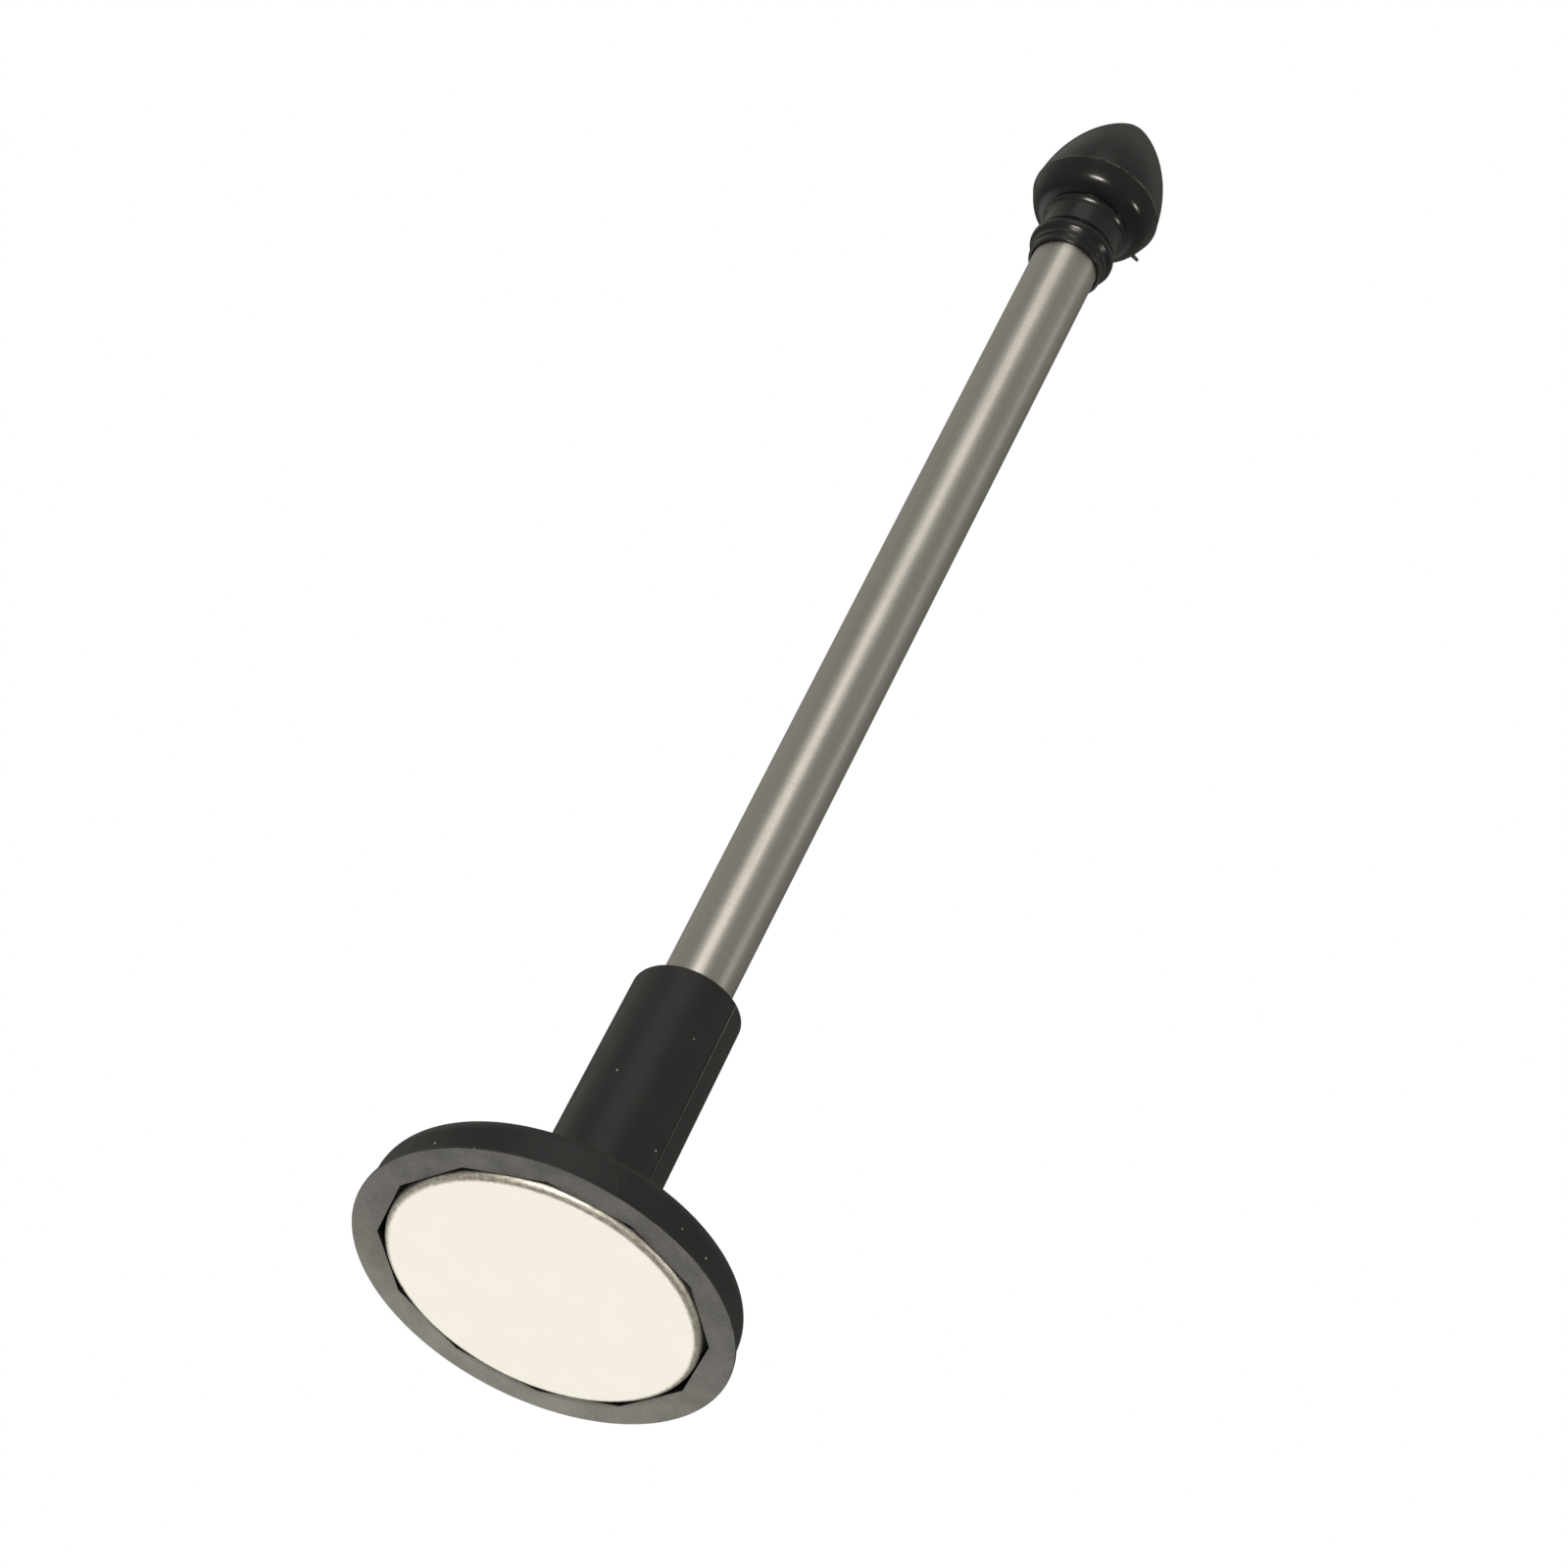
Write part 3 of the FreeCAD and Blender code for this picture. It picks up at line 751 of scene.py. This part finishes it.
# %% [markdown]
# ## The magnet
#
# A sintered disc with a rounded edge, plated all over. It stands a little out of the cup.

# %% Magnet
magnet_low_z = magnet_low.z / MM
magnet_high_z = magnet_high.z / MM
disc = outline([
    (0.0, magnet_low_z),
    (magnet_radius, magnet_low_z, edge_round),
    (magnet_radius, magnet_high_z, edge_round),
    (0.0, magnet_high_z),
])
finished("magnet", turned(disc), "base", "nickel_plate", ["magnet_disc"], nickel)

# %% [markdown]
# ## The four tubes
#
# Each tube is thin-walled, and the first three have their mouths rolled in, which both stops
# the next tube from coming out and gives the rounded bright rim. The lower end of each
# sliding tube has a small lip and a shallow seat for its two springs. The same outline
# serves all of them: up the outside, over the mouth, and down the bore.

# %% Tubes
tube_wall = 0.3
tube_gap = 0.2
slide_clearance = 0.05
end_lip_clearance = 0.08
roll_length = 0.6
ramp_length = 0.15
end_lip_length = 0.8
seat_length = 8.1
seat_depth = 0.05
TUBE_TURNS = 128


def slide_end(radius, low, wider_bore):
    """Corners of the lower end of a sliding tube, from its bore to its outside."""
    seat = radius - seat_depth
    lip = wider_bore - end_lip_clearance
    return [
        (radius - tube_wall, low),
        (lip, low, 0.06),
        (lip, low + end_lip_length, 0.06),
        (seat, low + end_lip_length),
        (seat, low + end_lip_length + seat_length),
        (radius, low + end_lip_length + seat_length),
    ]


def rolled_mouth(radius, high):
    """Corners of a rolled-in mouth, from the outside to the bore."""
    bore = radius - tube_wall - tube_gap + slide_clearance
    return [
        (radius, high, 0.34),
        (bore, high, 0.05),
        (bore, high - roll_length, 0.05),
        (radius - tube_wall, high - roll_length - ramp_length),
    ]


def tube(name, node, body, corners):
    """Closes the tube's outline, turns it and finishes it in drawn steel."""
    pipe = outline(corners + [corners[0]])
    bmesh.ops.remove_doubles(pipe, verts=pipe.verts, dist=WELD)
    finished(name, turned(pipe, TUBE_TURNS), body, "stainless_steel", [node], steel)


def span(node):
    """A tube's low and high ends in millimetres."""
    low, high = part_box(node)
    return low.z / MM, high.z / MM


# %% Four tubes
radii = [tube_radius - (tube_wall + tube_gap) * step for step in range(4)]
bores = [radius - tube_wall for radius in radii]
low, high = span("outer_tube")
tube("tube_wide", "outer_tube", "base",
     [(bores[0], low), (radii[0], low)] + rolled_mouth(radii[0], high))
for step, node, body in ((1, "middle_tube_1", "middle_section_1"),
                         (2, "middle_tube_2", "middle_section_2")):
    low, high = span(node)
    tube("tube_middle_%d" % step, node, body,
         slide_end(radii[step], low, bores[step - 1]) + rolled_mouth(radii[step], high))
low, high = span("tip_tube")
tube("tube_thin", "tip_tube", "tip_section",
     slide_end(radii[3], low, bores[2]) + [(radii[3], high), (bores[3], high)])
print("tube radii", [round(radius, 2) for radius in radii])

# %% [markdown]
# ## The knob
#
# The knob is a small stack of mouldings: a thin stepped collar and a rounded bead at the
# mouth, a neck that turns up to a round ridge, then an egg that swells to a crease and
# closes in a long curve to its tip. Everything up to the crease is a rounded outline like
# the others. The egg's long side and its tip are true arcs that meet smoothly. The side's
# centre is found from two distances: its radius from the crease, and the difference of the
# two radii from the tip's centre.

# %% Arcs of the egg
knob_low, knob_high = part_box("tip_knob")
knob_z = knob_low.z / MM
tip_z = knob_high.z / MM
crease_radius = 5.89
crease_height = 8.5
crease = Vector((crease_radius, 0.0, knob_z + crease_height))
side_radius = 16.2
tip_radius = 2.37
tip_centre = Vector((0.0, 0.0, tip_z - tip_radius))
reach = crease - tip_centre
gap = side_radius - tip_radius
along = (gap ** 2 - side_radius ** 2 + reach.length ** 2) / (2 * reach.length)
across = math.sqrt(gap ** 2 - along ** 2)
unit = reach.normalized()
side_centre = tip_centre + unit * along + Vector((unit.z, 0.0, -unit.x)) * across
tangent = tip_centre + (tip_centre - side_centre).normalized() * tip_radius
side_turn = (crease - side_centre).angle(tangent - side_centre)
tip_turn = (tangent - tip_centre).angle(AXIS)
print("arcs turn", [round(math.degrees(turn), 1) for turn in (side_turn, tip_turn)], "degrees")

# %% [markdown]
# The mould parts at the crease, and a hair of plastic squeezed out there: a flash line that
# stands out by a few hundredths of a millimetre. It shows as one thin light line, so it gets
# two corners of its own. The side's arc starts just behind it. Each arc is drawn by spinning
# one vertex about the arc's centre, which leaves a line of edges behind it.

# %% Knob sizes
mouth_clearance = 0.12
groove_depth = 0.13
belly_low_share = 0.565
belly_high_share = 0.919
mouth_radius = tube_radius + mouth_clearance
collar = mouth_radius + 0.3
step = mouth_radius + 0.44
bead = mouth_radius + 0.78
neck = mouth_radius + 0.46
ridge = mouth_radius + 0.81
groove = ridge - groove_depth
belly = crease.x - groove
flash = 0.04
flash_half_width = 0.07
flash_half_top = 0.03
flash_root = 0.015
flash_turn = flash_half_width / side_radius
side_start = side_centre + Quaternion((0.0, 1.0, 0.0), -flash_turn) @ (crease - side_centre)
knob_floor_gap = 0.15
knob_floor_z = span("middle_tube_2")[1] + knob_floor_gap
print("mouth radius", round(mouth_radius, 2), "belly", round(belly, 2), "mm")

# %% Knob outline
egg = outline([
    (mouth_radius, knob_floor_z),
    (mouth_radius, knob_z, 0.1),
    (collar, knob_z, 0.12),
    (collar, knob_z + 0.62, 0.03),
    (step, knob_z + 0.86, 0.2),
    (step, knob_z + 1.3, 0.05),
    (bead, knob_z + 1.7, 0.6),
    (bead, knob_z + 2.3, 0.8),
    (neck, knob_z + 2.9, 1.2),
    (neck + 0.08, knob_z + 5.12, 0.7),
    (ridge, knob_z + 5.44, 0.45),
    (ridge, knob_z + 5.8, 0.2),
    (groove, knob_z + 5.93, 0.02),
    (groove + belly_low_share * belly, knob_z + 6.36, 1.65),
    (groove + belly_high_share * belly, knob_z + 7.65, 4.9),
    (crease.x - flash_root, crease.z - flash_half_width),
    (crease.x + flash, crease.z - flash_half_top, 0.02),
    (crease.x + flash, crease.z + flash_half_top, 0.02),
    (side_start.x, side_start.z),
])


def sweep(bm, start, centre, angle, steps):
    """Draws an arc of edges from a point about a centre in the outline's plane."""
    vert = bm.verts.new(start)
    bmesh.ops.spin(bm, geom=[vert], cent=centre, axis=(0, 1, 0), dvec=(0, 0, 0),
                   angle=angle, steps=steps, use_merge=False, use_duplicate=False)


sweep(egg, side_start, side_centre, flash_turn - side_turn, steps=30)
sweep(egg, tangent, tip_centre, -tip_turn, steps=16)
bmesh.ops.remove_doubles(egg, verts=egg.verts, dist=COARSE_WELD)
print("knob outline", len(egg.verts), "points, crease at", round(crease.z, 2))

# %% [markdown]
# The outline is closed through the bore for the ferrule and turned. The faces of the flash
# line are picked out by their height and radius, for their own finish: a painted highlight.

# %% Knob body
ferrule_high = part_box("tip_ferrule")[1]
ferrule_radius = ferrule_high.x / MM
bore_top_gap = 0.1
bore_top_z = ferrule_high.z / MM + bore_top_gap
inside = [egg.verts.new(point) for point in (
    (mouth_radius, 0.0, knob_floor_z),
    (ferrule_radius, 0.0, knob_floor_z),
    (ferrule_radius, 0.0, bore_top_z),
    (0.0, 0.0, bore_top_z),
)]
for start, end in zip(inside, inside[1:]):
    egg.edges.new((start, end))
bmesh.ops.remove_doubles(egg, verts=egg.verts, dist=COARSE_WELD)
turned(egg)
flash_faces = [face for face in egg.faces
               if abs(face.calc_center_median().z - crease.z) < flash_half_width
               and max(vert.co.xy.length for vert in face.verts) > crease.x + flash / 2]
FLASH = 1
for face in flash_faces:
    face.material_index = FLASH
print("flash line", len(flash_faces), "faces")

# %% [markdown]
# A moulded part always shows where the plastic came in, and here the gate's stub was left
# under the crease, a nib less than half a millimetre across. It is a cone, bevelled at its
# broken end, laid on its side and pushed into the egg.

# %% Knob
nib_turn = 26.0
nib_length = 1.2
nib_out = 0.4
nib_height = 7.6
nib_root_radius = 0.24
nib_end_radius = 0.15
nib_bevel = 0.05
nib = bmesh.ops.create_cone(egg, cap_ends=True, segments=20, radius1=nib_root_radius,
                            radius2=nib_end_radius, depth=nib_length)["verts"]
end_loop = list({edge for vert in nib if vert.co.z > 0 for edge in vert.link_edges
                 if edge.verts[0].co.z > 0 and edge.verts[1].co.z > 0})
blunted = bmesh.ops.bevel(egg, geom=end_loop, offset=nib_bevel, segments=3, profile=0.5,
                          affect="EDGES", material=-1)
nib = list({vert for vert in nib if vert.is_valid}
           | {vert for face in blunted["faces"] for vert in face.verts})
spun(egg, nib, (0, 1, 0), 90.0)
bmesh.ops.translate(egg, verts=nib,
                    vec=(crease.x + nib_out - nib_length / 2, 0, knob_z + nib_height))
spun(egg, nib, AXIS, nib_turn)
finished("knob", egg, "tip_section", "knob_plastic", ["tip_knob"], knob_plastic, knob_flash_painted_highlight)

# %% [markdown]
# ## The parts inside
#
# The springs, bushes, plug, ferrule and adhesive are shut in while the rod is whole. Their
# CAD shapes are right as they are, so they only get their finishes: turned brass with the
# rings of the lathe, spring bronze with the lines of rolling, and a cloudy amber adhesive.

# %% Turned brass
brass, tree, shader, place = new_finish("turned_brass", Metallic=1.0)
rings = grain_of(tree, place, 0.08, detail=2.0, stretch=(80.0, 80.0, 1.0))
tarnish = grain_of(tree, place, 1.4, detail=4.0)
tone = between(tree, tarnish, (0.60, 0.43, 0.18), (0.74, 0.56, 0.26))
gloss = between(tree, rings, 0.22, 0.36)
paint(tree, shader, Base_Color=tone, Roughness=gloss)
raised(tree, shader, rings, depth_mm=0.003, strength=0.5)
print("brass finish", len(tree.nodes), "nodes")

# %% Spring bronze
bronze, tree, shader, place = new_finish("rolled_spring_bronze", Metallic=1.0)
rolled = grain_of(tree, place, 0.06, detail=3.0, stretch=(1.0, 1.0, 70.0))
tarnish = grain_of(tree, place, 0.9, detail=4.0)
tone = between(tree, tarnish, (0.48, 0.27, 0.13), (0.63, 0.38, 0.20))
gloss = between(tree, rolled, 0.26, 0.40)
paint(tree, shader, Base_Color=tone, Roughness=gloss)
raised(tree, shader, rolled, depth_mm=0.002, strength=0.5)
print("bronze finish", len(tree.nodes), "nodes")

# %% Adhesive
glue, tree, shader, place = new_finish("amber_adhesive", IOR=1.48)
cloudy = grain_of(tree, place, 2.2, detail=5.0)
bubbles = dust(tree, place, cell_mm=0.8, speck_mm=0.22, share=0.35)
tone = between(tree, cloudy, (0.34, 0.24, 0.10), (0.50, 0.40, 0.22))
tone = mixed(tree, bubbles, tone, (0.70, 0.62, 0.45))
gloss = between(tree, cloudy, 0.30, 0.50)
paint(tree, shader, Base_Color=tone, Roughness=gloss)
raised(tree, shader, cloudy, depth_mm=0.02, strength=0.4)
print("adhesive finish", len(tree.nodes), "nodes")

# %% Inner parts
inner_finishes = {"outer_tube_plug": brass, "tip_ferrule": brass, "magnet_adhesive": glue}
for section in ("middle_1", "middle_2", "tip"):
    inner_finishes[section + "_stop_bush"] = brass
    inner_finishes[section + "_spring_left"] = bronze
    inner_finishes[section + "_spring_right"] = bronze
for node, finish in inner_finishes.items():
    for material_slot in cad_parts[node].material_slots:
        material_slot.material = finish
print("inner parts", len(inner_finishes))

# %% [markdown]
# ## Size
#
# The box of the CAD model and the box of what shows now are written side by side, to be
# compared.

# %% Size
low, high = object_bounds()
for axis in "xyz":
    cad_side = getattr(cad_high, axis) - getattr(cad_low, axis)
    side = getattr(high, axis) - getattr(low, axis)
    print(axis, "cad", round(cad_side / MM, 3), "visual", round(side / MM, 3))
